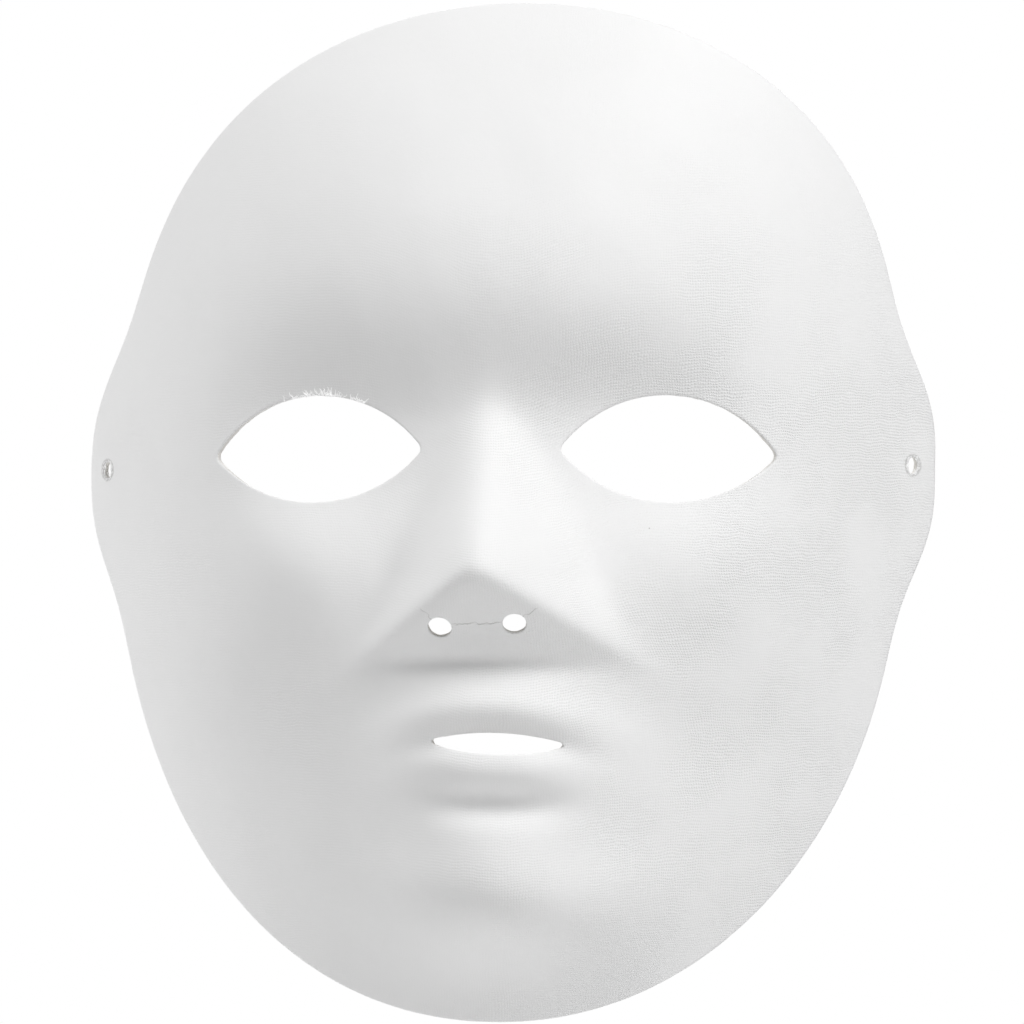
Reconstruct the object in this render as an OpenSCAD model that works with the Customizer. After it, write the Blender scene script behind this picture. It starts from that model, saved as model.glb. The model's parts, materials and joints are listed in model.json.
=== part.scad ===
// Blank full-face craft mask: a stiff laminate of gauze, paper pulp and lining.
// The origin is midway between the two strap holes, on the outer skin. The face looks towards -Y,
// and Z is up. Heights are measured from the strap holes.

/* [Outline] */
// Height of the mask from chin to crown
mask_h = 220; // [200:1:240]
// Height of the strap holes above the middle of the mask
hole_up = 9.5; // [5:0.5:14]
// Width of the plain oval, without the strap wings
oval_w = 173; // [160:1:184]
// How late the crown starts to narrow
crown_fall = 3.0; // [2.4:0.1:3.4]
// How full the corners of the crown are
crown_full = 2.0; // [1.8:0.05:2.4]
// How late the jaw starts to narrow
jaw_fall = 2.18; // [1.8:0.01:2.5]
// How full the corners of the jaw are
jaw_full = 2.05; // [1.8:0.05:2.4]
// How far each strap wing stands out from the oval
wing_out = 7.4; // [0:0.1:10]
// Reach of a strap wing above and below its hole
wing_reach = 25; // [18:1:36]
// How far the crown leans to one side, which the press and the trimming knife left
crown_lean = 4.8; // [-8:0.1:8]
// How late the lean sets in above the strap holes
lean_pow = 1.08; // [1:0.02:2]

/* [Dome of the face] */
// Depth of the plain dome from its middle to the flat half width
dome_h = 54; // [44:1:62]
// How flat the front of the dome is
dome_pow = 2.4; // [2:0.1:3]
// Half width at which the upper face has fallen by the whole dome depth
dome_top = 84; // [78:1:92]
// The same half width at the jaw
dome_jaw = 80; // [74:1:88]
// Height at which the jaw takes over
jaw_z = -60; // [-75:1:-45]
// How far the crown falls back
crown_back = 38; // [26:1:46]
// How late the crown falls back
crown_pow = 2.6; // [2.2:0.1:3.2]
// How far the plain dome falls back under the chin
chin_back = 28; // [20:1:36]
// How late it falls back under the chin
chin_pow = 2.1; // [1.8:0.1:3]
// How far each strap wing flares forward
flare = 2.2; // [0:0.1:4]
// Width of the flare at the rim
flare_w = 9; // [6:0.5:12]
// Height of the flare
flare_h = 22; // [16:1:28]

/* [Brow, sockets and cheeks] */
// How far the middle of the face lies behind the forehead
brow_in = 12.5; // [7:0.5:14]
// Height of the deepest line under the brow
brow_z = 9; // [5:0.5:13]
// Height over which the brow rises from it
brow_up = 21; // [14:1:24]
// Height over which the face comes forward again below it
brow_down = 46; // [36:1:56]
// Half width of the brow
brow_x = 53; // [46:1:62]
// Extra depth of each eye socket
socket_in = 2.6; // [0:0.1:4]
// Place of a socket: sideways and height
socket_at = [35, 2];
// Half size of a socket
socket_r = [21, 14];
// Height of each cheekbone above the plain face
cheek_out = 3; // [0:0.1:5]
// Place of a cheekbone
cheek_at = [44, -19.5];
// Half size of a cheekbone
cheek_r = [16, 15];
// Depth of each hollow below a cheekbone
hollow_in = 3; // [0:0.1:5]
// Place of a hollow
hollow_at = [42, -56.5];
// Half size of a hollow
hollow_r = [23, 19];

/* [Nose] */
// Sideways place of the nose, which the press left a little off centre
nose_x = -1.5; // [-3:0.1:3]
// Height where the bridge starts
nose_top = 13.8; // [12:0.5:26]
// Height of the tip
nose_tip = -23.8; // [-27:0.1:-20]
// Height where the underside meets the lip
nose_base = -42.2; // [-47:0.1:-40]
// How far the tip stands forward
nose_out = 23.5; // [18:0.5:28]
// Slope of the flanks at the bridge and at the tip
nose_slope = [0.98, 1.25];
// How much the flanks lean to one side
nose_skew = 0.13; // [0:0.01:0.3]
// Radius of the ridge at the bridge and at the tip
nose_ridge = [5.5, 2.9];
// Slope of the underside
nose_under = 1.1; // [0.8:0.05:1.5]
// Radius of the edge between flank and underside
nose_edge = 3.5; // [2:0.1:6]
// Radius where the nose meets the face
nose_blend = 3.1; // [2:0.1:6]
// Crease between nose and lip: depth and height
crease = [2.0, -42];
// Half size of the crease
crease_r = [17, 2.5];

/* [Mouth and chin] */
// Sideways place of the mouth and chin
mouth_x = 2.3; // [-3:0.1:3]
// How much the mouth and chin are turned, as a slope
mouth_tilt = 0.03; // [-0.05:0.005:0.05]
// How far the muzzle stands forward
muzzle_out = 6.3; // [3:0.1:9]
// Height of the middle of the muzzle
muzzle_z = -62; // [-68:0.5:-56]
// Half size of the muzzle
muzzle_r = [26, 22];
// How much the upper lip arches, per millimetre of half width squared
lip_arch = 0.008; // [0:0.001:0.012]
// Upper lip: how far it stands out, and its height
upper_lip = [1.9, -50.6];
// Half size of the upper lip
upper_lip_r = [22, 4.0];
// Groove of the mouth: depth and height
groove = [1.8, -57.3];
// Half size of the groove
groove_r = [18.5, 2.7];
// Lower lip: how far it stands out, and its height
lower_lip = [2.0, -64.4];
// Half size of the lower lip
lower_lip_r = [13, 5];
// Fold between lower lip and chin: depth and height
fold = [2.7, -71.2];
// Half size of the fold
fold_r = [16, 3.9];
// Chin: how far it stands out, and its height
chin = [14.5, -91.5];
// Half width of the chin
chin_x = 27; // [20:1:34]
// Reach of the chin upwards and downwards
chin_r = [13.5, 15];

/* [Openings] */
// Sideways place of each eye opening
eye_x = 37.7; // [34:0.5:40]
// Height of the corners of the eyes
eye_z = 2.8; // [0:0.1:8]
// Span of an eye between the points where its two arcs meet
eye_span = 46.2; // [36:0.1:50]
// Rise of the upper arc and drop of the lower arc
eye_arc = [12.2, 10.4];
// How much the outer corner hangs, in degrees
eye_tilt = 2.0; // [0:0.1:6]
// Radius of the corners of the eyes
eye_corner = 1.6; // [0.6:0.1:3]
// Height of the mouth slot's corners
slot_z = -58.6; // [-62:0.1:-55]
// Span of the mouth slot
slot_span = 31.2; // [20:0.1:34]
// Rise of its upper arc and drop of its lower arc
slot_arc = [2.2, 2.05];
// Radius of the corners of the slot
slot_corner = 0.55; // [0.3:0.1:1.2]
// Sideways place of each nostril hole from the middle of the nose
nostril_x = 7.9; // [6:0.1:9]
// Height of the nostril holes
nostril_z = -33.6; // [-35:0.1:-30]
// How much the right nostril sits above that height, and the left below it
nostril_lift = 0.4; // [-1:0.1:1]
// How far the nostril punch is turned from square to the skin towards straight on
nostril_lean = 0.6; // [0:0.05:1]
// Radius of the nostril holes
nostril_r = 2.45; // [1.5:0.05:3]
// Sideways place of each strap hole
strap_x = 89; // [86:0.1:90]
// How much the right strap hole sits above the origin, and the left below it
strap_lift = 0.45; // [0:0.05:1]
// How far the strap punch is turned from square to the skin towards straight on
strap_lean = 0.35; // [0:0.05:1]
// Radius of the strap holes
strap_r = 1.75; // [1:0.05:2]

/* [Layers] */
// Thickness of the gauze face layer
gauze_t = 0.25; // [0.2:0.05:0.6]
// Thickness of the moulded pulp
pulp_t = 0.8; // [0.6:0.1:2]
// Thickness of the lining
lining_t = 0.25; // [0.2:0.05:0.5]

/* [Hidden] */
top_z = mask_h / 2 - hole_up;
low_z = -mask_h / 2 - hole_up;
half_h = mask_h / 2;
jaw_soft = 14;
wall_t = gauze_t + pulp_t + lining_t;
// The skin is a grid: rows up the face, close together at the mouth, and columns across it.
cols = 26;
col_crowding = 1.25;
pole_step = 0.45;
row_z = concat(
    [for (k = [1:4]) low_z + pole_step * k * k],
    [for (z = [-108:4.8:-88]) z],
    [for (z = [-84:2.75:-44]) z],
    [for (z = [-41.8:4.4:45]) z],
    [for (z = [48:6.7:88]) z],
    [for (k = [4:-1:1]) top_z - pole_step * k * k]);
rows = len(row_z);
sheet_points = rows * (cols + 1) + 2;
probe = 0.5;
cut_reach = 140;
arc_steps = 24;

function bump(d, r, p = 2) = exp(-pow(abs(d / r), p));
function bump_up_down(d, up, down) = bump(d, d > 0 ? up : down);
function soft_abs(x, r) = sqrt(x * x + r * r) - r;
function soft_min(a, b, r) = (a + b - sqrt((a - b) * (a - b) + r * r)) / 2;
function soft_max(a, b, r) = (a + b + sqrt((a - b) * (a - b) + r * r)) / 2;
function mix(a, b, t) = a + (b - a) * t;
function spot(x, z, at, r) = bump(abs(x) - at[0], r[0]) * bump(z - at[1], r[1]);
function band(x, z, at_z, r) = bump(x, r[0], 3) * bump(z - at_z, r[1]);

// Half width of the mask at a height: two rounded ovals and the strap wings.
function rise(z) = min(1, abs(z + hole_up) / half_h);
function crown_part(t) = pow(1 - pow(t, crown_fall), 1 / crown_full);
function jaw_part(t) = pow(1 - pow(t, jaw_fall), 1 / jaw_full);
function oval(z) = z + hole_up > 0 ? crown_part(rise(z)) : jaw_part(rise(z));
function wing(z) = wing_out * bump(z, wing_reach, 3) * (1 - pow(rise(z), 6));
function half_w(z) = oval_w / 2 * oval(z) + wing(z);
function lean(z) = crown_lean * pow(max(0, min(1, z / top_z)), lean_pow);

// How far forward the skin lies, feature by feature.
function dome_w(z) = mix(dome_jaw, dome_top, 1 / (1 + exp(-(z - jaw_z) / jaw_soft)));
function fall_back(z) = z + hole_up > 0
    ? crown_back * pow(rise(z), crown_pow)
    : chin_back * pow(rise(z), chin_pow);
function dome(x, z) =
    dome_h * (1 - pow(abs(x - lean(z)) / dome_w(z), dome_pow)) - fall_back(z);
function mid_face(x, z) =
    - brow_in * bump_up_down(z - brow_z, brow_up, brow_down) * bump(x, brow_x, 4)
    - socket_in * spot(x, z, socket_at, socket_r)
    + cheek_out * spot(x, z, cheek_at, cheek_r)
    - hollow_in * spot(x, z, hollow_at, hollow_r)
    + flare * spot(x, z, [half_w(0), 0], [flare_w, flare_h]);

function nose_t(z) = max(0, min(1, (z - nose_tip) / (nose_top - nose_tip)));
function flank(x, z) = let (t = nose_t(z))
    nose_out * (nose_top - z) / (nose_top - nose_tip)
    - mix(nose_slope[1], nose_slope[0], t) * soft_abs(x, mix(nose_ridge[1], nose_ridge[0], t))
    + nose_skew * x;
function nose(x, z) =
    soft_max(soft_min(flank(x, z), nose_under * (z - nose_base), nose_edge), 0, nose_blend)
    - crease[0] * band(x, z, crease[1], crease_r);

function muzzle(x, z) = let (d = pow(x / muzzle_r[0], 2) + pow((z - muzzle_z) / muzzle_r[1], 2))
    muzzle_out * exp(-d * d);
function arched(x, z) = z + lip_arch * min(x * x, 1600);
function turned_mouth(x, z) = mouth(x, z + mouth_tilt * x);
function mouth(x, z) =
    muzzle(x, z)
    + upper_lip[0] * band(x, arched(x, z), upper_lip[1], upper_lip_r)
    - groove[0] * band(x, arched(x, z), groove[1], groove_r)
    + lower_lip[0] * band(x, z, lower_lip[1], lower_lip_r)
    - fold[0] * band(x, z, fold[1], fold_r)
    + chin[0] * bump(x, chin_x) * bump_up_down(z - chin[1], chin_r[0], chin_r[1]);

function form(x, z) = dome(x, z) + mid_face(x, z) + nose(x - nose_x, z)
    + turned_mouth(x - mouth_x, z);

// The outer skin as a point, its outward normal, and a point under the skin.
hole_form = form(strap_x, 0);
function skin(x, z) = [x, hole_form - form(x, z), z];
function slope_x(x, z) = (form(x + probe, z) - form(x - probe, z)) / (2 * probe);
function slope_z(x, z) = (form(x, z + probe) - form(x, z - probe)) / (2 * probe);
function normal(x, z) = let (v = [-slope_x(x, z), -1, -slope_z(x, z)]) v / norm(v);
function under(x, z, depth) = skin(x, z) - depth * normal(x, z);

// One sheet of the grid: the chin point, the rows from chin to crown, and the crown point.
function col_u(c) = let (s = 2 * c / cols - 1) sign(s) * pow(abs(s), col_crowding);
function sheet(depth) = concat(
    [under(0, low_z, depth)],
    [for (z = row_z, c = [0:cols]) under(lean(z) + col_u(c) * half_w(z), z, depth)],
    [under(lean(top_z), top_z, depth)]);
function at(r, c) = 1 + r * (cols + 1) + c;
sheet_faces = concat(
    [for (c = [0:cols - 1]) [0, at(0, c), at(0, c + 1)]],
    [for (r = [0:rows - 2], c = [0:cols - 1]) [at(r, c), at(r + 1, c), at(r + 1, c + 1)]],
    [for (r = [0:rows - 2], c = [0:cols - 1]) [at(r, c), at(r + 1, c + 1), at(r, c + 1)]],
    [for (c = [0:cols - 1]) [sheet_points - 1, at(rows - 1, c + 1), at(rows - 1, c)]]);
rim = concat(
    [0],
    [for (r = [0:rows - 1]) at(r, 0)],
    [sheet_points - 1],
    [for (r = [rows - 1:-1:0]) at(r, cols)]);
function back(i) = i + sheet_points;
wall_faces = [for (k = [0:len(rim) - 1]) let (i = rim[k], j = rim[(k + 1) % len(rim)])
    each [[j, i, back(i)], [j, back(i), back(j)]]];

// One glued layer, between two depths under the outer skin.
module layer(from, to) {
    polyhedron(
        points = concat(sheet(from), sheet(to)),
        faces = concat(
            sheet_faces,
            [for (f = sheet_faces) [back(f[0]), back(f[2]), back(f[1])]],
            wall_faces));
}

// An opening with pointed ends: two arcs over one chord, with small round corners.
function arc_r(span, sag) = (span * span / 4 + sag * sag) / (2 * sag);
function arc(centre, r, a0, a1) =
    [for (i = [0:arc_steps]) let (a = mix(a0, a1, i / arc_steps)) centre + r * [cos(a), sin(a)]];
module lens(span, rise_drop, corner) {
    upper_r = arc_r(span, rise_drop[0]);
    lower_r = arc_r(span, rise_drop[1]);
    upper_c = rise_drop[0] - upper_r;
    lower_c = lower_r - rise_drop[1];
    // the corner circle touches both arcs from inside
    corner_z = ((upper_r - lower_r) * (upper_r + lower_r - 2 * corner) - upper_c * upper_c
        + lower_c * lower_c) / (2 * (lower_c - upper_c));
    corner_x = sqrt(pow(upper_r - corner, 2) - pow(corner_z - upper_c, 2));
    up_a = atan2(corner_z - upper_c, corner_x);
    down_a = atan2(corner_z - lower_c, corner_x);
    polygon(concat(
        arc([0, upper_c], upper_r, up_a, 180 - up_a),
        arc([-corner_x, corner_z], corner, 180 - up_a, 180 - down_a),
        arc([0, lower_c], lower_r, -180 - down_a, down_a),
        arc([corner_x, corner_z], corner, down_a, up_a)));
}

module cut_through() {
    translate([0, cut_reach / 2, 0]) rotate([90, 0, 0]) linear_extrude(2 * cut_reach) children();
}

module eye_cut(side) {
    cut_through() translate([side * eye_x, eye_z]) rotate(-side * eye_tilt)
        lens(eye_span, eye_arc, eye_corner);
}

module slot_cut() {
    cut_through() translate([mouth_x, slot_z]) rotate(-atan(mouth_tilt))
        lens(slot_span, slot_arc, slot_corner);
}

// A round hole, punched between square to the skin and straight on from the front.
module punch(x, z, r, turn) {
    v = normal(x, z) - [0, turn, 0];
    n = v / norm(v);
    translate(skin(x, z)) rotate([0, acos(n[2]), atan2(n[1], n[0])])
        cylinder(h = 4 * wall_t, r = r, center = true, $fn = 48);
}

module openings() {
    for (side = [-1, 1]) {
        eye_cut(side);
        punch(nose_x + side * nostril_x, nostril_z + side * nostril_lift, nostril_r, nostril_lean);
        punch(side * strap_x, side * strap_lift, strap_r, strap_lean);
    }
    slot_cut();
}

module gauze_face_layer() {
    color("#f6f6f5") difference() {
        layer(0, gauze_t);
        openings();
    }
}

module pulp_core_shell() {
    color("#e7e4dc") difference() {
        layer(gauze_t, gauze_t + pulp_t);
        openings();
    }
}

module backing_lining() {
    color("#ecebe7") difference() {
        layer(gauze_t + pulp_t, wall_t);
        openings();
    }
}

gauze_face_layer();
pulp_core_shell();
backing_lining();
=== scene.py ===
import json
import math

import bpy
import numpy as np
from mathutils import Matrix, Vector
from mathutils.geometry import delaunay_2d_cdt
from mathutils.kdtree import KDTree


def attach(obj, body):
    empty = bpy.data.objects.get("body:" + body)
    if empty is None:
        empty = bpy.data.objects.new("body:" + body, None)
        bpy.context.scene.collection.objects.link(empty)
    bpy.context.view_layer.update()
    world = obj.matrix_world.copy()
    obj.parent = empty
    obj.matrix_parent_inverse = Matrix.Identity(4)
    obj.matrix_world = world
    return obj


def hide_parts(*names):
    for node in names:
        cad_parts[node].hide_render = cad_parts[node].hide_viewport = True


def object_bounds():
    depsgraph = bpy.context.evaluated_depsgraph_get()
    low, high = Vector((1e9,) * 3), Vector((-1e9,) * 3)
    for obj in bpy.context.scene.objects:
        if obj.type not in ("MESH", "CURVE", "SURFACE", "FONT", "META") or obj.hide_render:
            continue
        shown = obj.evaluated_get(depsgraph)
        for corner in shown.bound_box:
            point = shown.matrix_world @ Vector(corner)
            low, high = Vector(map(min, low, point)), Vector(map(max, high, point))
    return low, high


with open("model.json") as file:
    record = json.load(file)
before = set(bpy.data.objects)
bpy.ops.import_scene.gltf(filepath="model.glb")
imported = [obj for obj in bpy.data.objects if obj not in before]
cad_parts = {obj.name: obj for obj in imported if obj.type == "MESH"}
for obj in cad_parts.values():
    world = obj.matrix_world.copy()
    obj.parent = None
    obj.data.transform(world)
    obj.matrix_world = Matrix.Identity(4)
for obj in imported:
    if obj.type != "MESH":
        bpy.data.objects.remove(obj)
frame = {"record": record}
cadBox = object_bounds()
mounts = {m["name"]: m for m in frame["record"]["mounts"]}
mm = 0.001


# The pressed form is in millimetres: x across, z up from the strap holes, forward towards the viewer.

outline = {
    "height": 220, "holeUp": 9.5, "ovalWidth": 173,
    "crownFall": 3.0, "crownFull": 2.0, "jawFall": 2.18, "jawFull": 2.05,
    "wingOut": 7.4, "wingReach": 25, "crownLean": 4.8, "leanPower": 1.08,
}
dome = {
    "depth": 54, "power": 2.4, "topWidth": 84, "jawWidth": 80, "jawAt": -60, "jawSoft": 14,
    "crownBack": 38, "crownPower": 2.6, "chinBack": 28, "chinPower": 2.1,
    "flare": 2.2, "flareSize": (9, 22),
}
midFace = {
    "browIn": 12.5, "browAt": 9, "browUp": 21, "browDown": 46, "browWidth": 53,
    "socket": 2.6, "socketAt": (35, 2), "socketSize": (21, 14),
    "cheek": 3, "cheekAt": (44, -19.5), "cheekSize": (16, 15),
    "hollow": 3, "hollowAt": (42, -56.5), "hollowSize": (23, 19),
}
nose = {
    "x": -1.5, "top": 13.8, "tip": -23.8, "base": -42.2, "out": 23.5,
    "slope": (0.98, 1.25), "skew": 0.13, "ridge": (5.5, 2.9), "under": 1.1, "edge": 3.5, "blend": 3.1,
    "crease": 2.0, "creaseAt": -42, "creaseSize": (17, 2.5),
}
mouth = {
    "x": 2.3, "tilt": 0.03, "muzzle": 6.3, "muzzleAt": -62, "muzzleSize": (26, 22), "arch": 0.008,
    "upperLip": 1.9, "upperLipAt": -50.6, "upperLipSize": (22, 4.0),
    "groove": 1.8, "grooveAt": -57.3, "grooveSize": (18.5, 2.7),
    "lowerLip": 2.0, "lowerLipAt": -64.4, "lowerLipSize": (13, 5),
    "fold": 2.7, "foldAt": -71.2, "foldSize": (16, 3.9),
    "chin": 14.5, "chinAt": -91.5, "chinWidth": 27, "chinReach": (13.5, 15),
}
openings = {
    "eyeX": 37.7, "eyeZ": 2.8, "eyeSpan": 46.2, "eyeArcs": (12.2, 10.4), "eyeTilt": 2.0, "eyeCorner": 1.6,
    "slotZ": -58.6, "slotSpan": 31.2, "slotArcs": (2.2, 2.05), "slotCorner": 0.55,
    "nostrilX": 7.9, "nostrilZ": -33.6, "nostrilLift": 0.4, "nostrilR": 2.45, "nostrilLean": 0.6,
    "strapX": 89.0, "strapLift": 0.45, "strapLean": 0.35,
}
layers = {"gauze": 0.25, "pulp": 0.8, "lining": 0.25, "glueGap": 0.01}


def bump(d, reach, power=2):
    return np.exp(-np.abs(d / reach) ** power)


def bumpUpDown(d, up, down):
    return np.where(d > 0, bump(d, up), bump(d, down))


def softAbs(a, r):
    return np.sqrt(a * a + r * r) - r


def softMin(a, b, r):
    return (a + b - np.sqrt((a - b) ** 2 + r * r)) / 2


def softMax(a, b, r):
    return (a + b + np.sqrt((a - b) ** 2 + r * r)) / 2


def spot(x, z, at, size):
    return bump(np.abs(x) - at[0], size[0]) * bump(z - at[1], size[1])


def band(x, z, at, size):
    return bump(x, size[0], 3) * bump(z - at, size[1])


def lean(z):
    # the press and the trimming knife leave the crown leaning to one side
    crownZ = outline["height"] / 2 - outline["holeUp"]
    return outline["crownLean"] * np.clip(z / crownZ, 0, 1) ** outline["leanPower"]


def halfWidth(z):
    o = outline
    t = np.minimum(1, np.abs(z + o["holeUp"]) / (o["height"] / 2))
    crown = (1 - t ** o["crownFall"]) ** (1 / o["crownFull"])
    jaw = (1 - t ** o["jawFall"]) ** (1 / o["jawFull"])
    wing = o["wingOut"] * bump(z, o["wingReach"], 3) * (1 - t ** 6)
    return o["ovalWidth"] / 2 * np.where(z + o["holeUp"] > 0, crown, jaw) + wing


def domeForward(x, z):
    t = np.abs(z + outline["holeUp"]) / (outline["height"] / 2)
    width = dome["jawWidth"] + (dome["topWidth"] - dome["jawWidth"]) / (
        1 + np.exp(-(z - dome["jawAt"]) / dome["jawSoft"]))
    crown = dome["crownBack"] * t ** dome["crownPower"]
    chin = dome["chinBack"] * t ** dome["chinPower"]
    fallBack = np.where(z + outline["holeUp"] > 0, crown, chin)
    return dome["depth"] * (1 - (np.abs(x - lean(z)) / width) ** dome["power"]) - fallBack


def midFaceForward(x, z):
    m = midFace
    brow = m["browIn"] * bumpUpDown(z - m["browAt"], m["browUp"], m["browDown"])
    return (
        m["cheek"] * spot(x, z, m["cheekAt"], m["cheekSize"])
        - brow * bump(x, m["browWidth"], 4)
        - m["socket"] * spot(x, z, m["socketAt"], m["socketSize"])
        - m["hollow"] * spot(x, z, m["hollowAt"], m["hollowSize"])
        + dome["flare"] * spot(x, z, (wingHalf, 0), dome["flareSize"])
    )


def noseForward(x, z):
    n = nose
    t = np.clip((z - n["tip"]) / (n["top"] - n["tip"]), 0, 1)
    slope = n["slope"][1] + (n["slope"][0] - n["slope"][1]) * t
    ridge = n["ridge"][1] + (n["ridge"][0] - n["ridge"][1]) * t
    flank = n["out"] * (n["top"] - z) / (n["top"] - n["tip"]) - slope * softAbs(x, ridge) + n["skew"] * x
    under = n["under"] * (z - n["base"])
    wedge = softMax(softMin(flank, under, n["edge"]), 0, n["blend"])
    return wedge - n["crease"] * band(x, z, n["creaseAt"], n["creaseSize"])


def mouthForward(x, z):
    m = mouth
    z = z + m["tilt"] * x
    away = (x / m["muzzleSize"][0]) ** 2 + ((z - m["muzzleAt"]) / m["muzzleSize"][1]) ** 2
    arched = z + m["arch"] * np.minimum(x * x, 1600)
    return (
        m["muzzle"] * np.exp(-away * away)
        + m["upperLip"] * band(x, arched, m["upperLipAt"], m["upperLipSize"])
        - m["groove"] * band(x, arched, m["grooveAt"], m["grooveSize"])
        + m["lowerLip"] * band(x, z, m["lowerLipAt"], m["lowerLipSize"])
        - m["fold"] * band(x, z, m["foldAt"], m["foldSize"])
        + m["chin"] * bump(x, m["chinWidth"]) * bumpUpDown(z - m["chinAt"], *m["chinReach"])
    )


def formForward(x, z):
    return (domeForward(x, z) + midFaceForward(x, z)
            + noseForward(x - nose["x"], z) + mouthForward(x - mouth["x"], z))


wingHalf = float(halfWidth(np.array(0.0)))
strap = {side: mounts[side + "_strap_hole"] for side in ("left", "right")}
strapR = strap["right"]["dims"]["r_mm"]
strapX = openings["strapX"]
holeForward = float(formForward(np.array(strapX), np.array(0.0)))


# a hand-pressed surface isn't true: shallow waves all over
waves = {"count": 26, "seed": 11, "shortest": 9, "longest": 38, "height": 0.055}
rng = np.random.default_rng(waves["seed"])
waveLengths = rng.uniform(waves["shortest"], waves["longest"], waves["count"])
waveAngles = rng.uniform(0, math.pi, waves["count"])
wavePhases = rng.uniform(0, 2 * math.pi, waves["count"])


def pressWaves(x, z):
    total = np.zeros(np.shape(x))
    for length, angle, phase in zip(waveLengths, waveAngles, wavePhases):
        along = x * math.cos(angle) + z * math.sin(angle)
        total += length / waves["longest"] * np.sin(2 * math.pi * along / length + phase)
    return waves["height"] * total / math.sqrt(waves["count"] / 2) * 2


def skinPoint(x, z):
    return np.stack([x, holeForward - formForward(x, z) - pressWaves(x, z), z], -1)


def skinNormal(x, z, step=0.3):
    alongX = skinPoint(x + step, z) - skinPoint(x - step, z)
    alongZ = skinPoint(x, z + step) - skinPoint(x, z - step)
    n = np.cross(alongX, alongZ)
    return n / np.linalg.norm(n, axis=-1, keepdims=True)


# edge lines are loops of points in x and z
spacing = {"grid": 1.15, "edge": 0.8, "hole": 0.35, "guard": 0.55}


def evenly(loop, step):
    # the same closed line, with points at an even spacing
    closed = np.vstack([loop, loop[:1]])
    lengths = np.concatenate([[0], np.cumsum(np.linalg.norm(np.diff(closed, axis=0), axis=1))])
    count = max(12, int(round(lengths[-1] / step)))
    at = np.linspace(0, lengths[-1], count, endpoint=False)
    return np.stack([np.interp(at, lengths, closed[:, k]) for k in (0, 1)], -1)


def rimLoop():
    a = np.linspace(-math.pi / 2, math.pi / 2, 700)
    z = -outline["holeUp"] + outline["height"] / 2 * np.sin(a)
    w = halfWidth(z)
    loop = np.vstack([np.stack([w + lean(z), z], -1), np.stack([lean(z) - w, z], -1)[::-1][1:-1]])
    return evenly(loop, spacing["edge"])


def arcLine(centreZ, r, a0, a1, centreX=0.0, count=60):
    a = np.linspace(a0, a1, count)
    return np.stack([centreX + r * np.cos(a), centreZ + r * np.sin(a)], -1)


def lensLoop(x, z, span, arcs, corner, tilt, step):
    upR, downR = [(span * span / 4 + s * s) / (2 * s) for s in arcs]
    upC, downC = arcs[0] - upR, downR - arcs[1]
    cornerZ = ((upR - downR) * (upR + downR - 2 * corner) - upC ** 2 + downC ** 2) / (2 * (downC - upC))
    cornerX = math.sqrt((upR - corner) ** 2 - (cornerZ - upC) ** 2)
    upA = math.atan2(cornerZ - upC, cornerX)
    downA = math.atan2(cornerZ - downC, cornerX)
    loop = np.vstack([
        arcLine(upC, upR, upA, math.pi - upA),
        arcLine(cornerZ, corner, math.pi - upA, math.pi - downA, -cornerX, 12),
        arcLine(downC, downR, -math.pi - downA, downA),
        arcLine(cornerZ, corner, downA, upA, cornerX, 12)])
    turn = math.radians(tilt)
    rotated = loop @ np.array([[math.cos(turn), math.sin(turn)], [-math.sin(turn), math.cos(turn)]])
    return evenly(rotated + (x, z), step)


def punchAxis(x, z, towardsFront):
    # the punch is held between square to the skin and straight on from the front
    n = skinNormal(np.array(x), np.array(z)) + (0, -towardsFront, 0)
    return n / np.linalg.norm(n)


def punchLoop(x, z, r, towardsFront, step):
    # where a round punch meets the skin, seen in x and z
    n = punchAxis(x, z, towardsFront)
    across = np.cross(n, (0, 0, 1))
    across /= np.linalg.norm(across)
    up = np.cross(across, n)
    a = np.linspace(0, 2 * math.pi, 96, endpoint=False)
    ring = r * (np.cos(a)[:, None] * across + np.sin(a)[:, None] * up)
    skinN = skinNormal(np.array(x), np.array(z))
    ring = ring - ((ring @ skinN) / n.dot(skinN))[:, None] * n
    return evenly(ring[:, (0, 2)] + (x, z), step)


def openingLoops():
    o = openings
    loops = {}
    for name, side in (("left", -1), ("right", 1)):
        loops[name + "Eye"] = lensLoop(side * o["eyeX"], o["eyeZ"], o["eyeSpan"], o["eyeArcs"],
                                       o["eyeCorner"], -side * o["eyeTilt"], spacing["edge"])
        loops[name + "Nostril"] = punchLoop(
            nose["x"] + side * o["nostrilX"], o["nostrilZ"] + side * o["nostrilLift"],
            o["nostrilR"], o["nostrilLean"], spacing["hole"])
        loops[name + "Strap"] = punchLoop(
            side * strapX, side * o["strapLift"], strapR, o["strapLean"], spacing["hole"])
    loops["slot"] = lensLoop(mouth["x"], o["slotZ"], o["slotSpan"], o["slotArcs"],
                             o["slotCorner"], -math.degrees(mouth["tilt"]), spacing["edge"])
    return loops


def inside(points, loop):
    # even-odd test of many points against one closed line
    x, z = points[:, 0][:, None], points[:, 1][:, None]
    x0, z0 = loop[:, 0][None], loop[:, 1][None]
    x1, z1 = np.roll(loop[:, 0], -1)[None], np.roll(loop[:, 1], -1)[None]
    crosses = (z0 > z) != (z1 > z)
    with np.errstate(divide="ignore", invalid="ignore"):
        meet = (x1 - x0) * (z - z0) / (z1 - z0) + x0
    return (np.sum(crosses & (x < meet), axis=1) % 2) == 1


def signedArea(loop):
    return np.sum(loop[:, 0] * np.roll(loop[:, 1], -1) - np.roll(loop[:, 0], -1) * loop[:, 1]) / 2


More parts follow.
